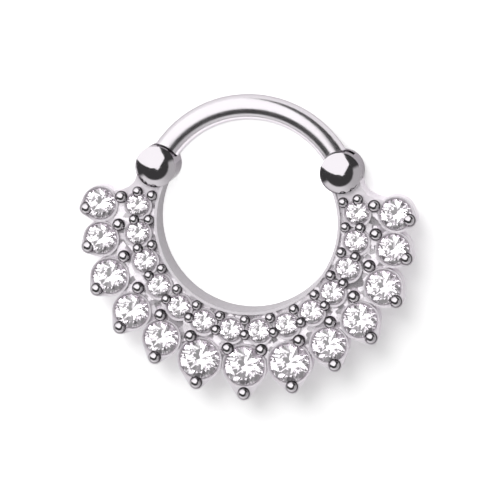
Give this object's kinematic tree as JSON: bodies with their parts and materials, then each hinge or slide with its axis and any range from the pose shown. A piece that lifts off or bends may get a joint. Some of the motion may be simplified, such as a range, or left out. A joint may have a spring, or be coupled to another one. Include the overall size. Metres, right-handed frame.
{
  "type": "hinged hoop",
  "caption": "Small hinged hoop for a piercing: a round bar swings on one domed barrel and clicks into another above a flat crescent with two rows of round clear stones in prong beads.",
  "frame": {"origin": "on the flat back, in the middle of the hoop's outline", "axes": "+X to the right as the stones are seen, from the hinge barrel to the catch barrel; +Y from the stones' lowest tip to the bar's crown; +Z along the hoop's axis, out of the stones"},
  "size_m": [0.0162, 0.0146, 0.0023],
  "materials": {
    "polished_steel": "mirror-polished surgical steel",
    "clear_stone": "faceted colourless stone, polished"
  },
  "bodies": {
    "crescent": {"setting": "polished_steel", "hinge_pin": "polished_steel", "outer_stone_01": "clear_stone", "outer_stone_02": "clear_stone", "outer_stone_03": "clear_stone", "outer_stone_04": "clear_stone", "outer_stone_05": "clear_stone", "outer_stone_06": "clear_stone", "outer_stone_07": "clear_stone", "outer_stone_08": "clear_stone", "outer_stone_09": "clear_stone", "outer_stone_10": "clear_stone", "outer_stone_11": "clear_stone", "outer_stone_12": "clear_stone", "outer_stone_13": "clear_stone", "inner_stone_01": "clear_stone", "inner_stone_02": "clear_stone", "inner_stone_03": "clear_stone", "inner_stone_04": "clear_stone", "inner_stone_05": "clear_stone", "inner_stone_06": "clear_stone", "inner_stone_07": "clear_stone", "inner_stone_08": "clear_stone", "inner_stone_09": "clear_stone", "inner_stone_10": "clear_stone", "inner_stone_11": "clear_stone", "inner_stone_12": "clear_stone", "inner_stone_13": "clear_stone", "inner_stone_14": "clear_stone"},
    "bar": {"hinged_bar": "polished_steel"}
  },
  "joints": [
    {"name": "bar_hinge", "type": "hinge", "parent": "crescent", "child": "bar", "pos_m": [-0.00441, 0.0038, 0.0008], "axis": [0, 0, 1], "range_deg": [0, 100]}
  ]
}
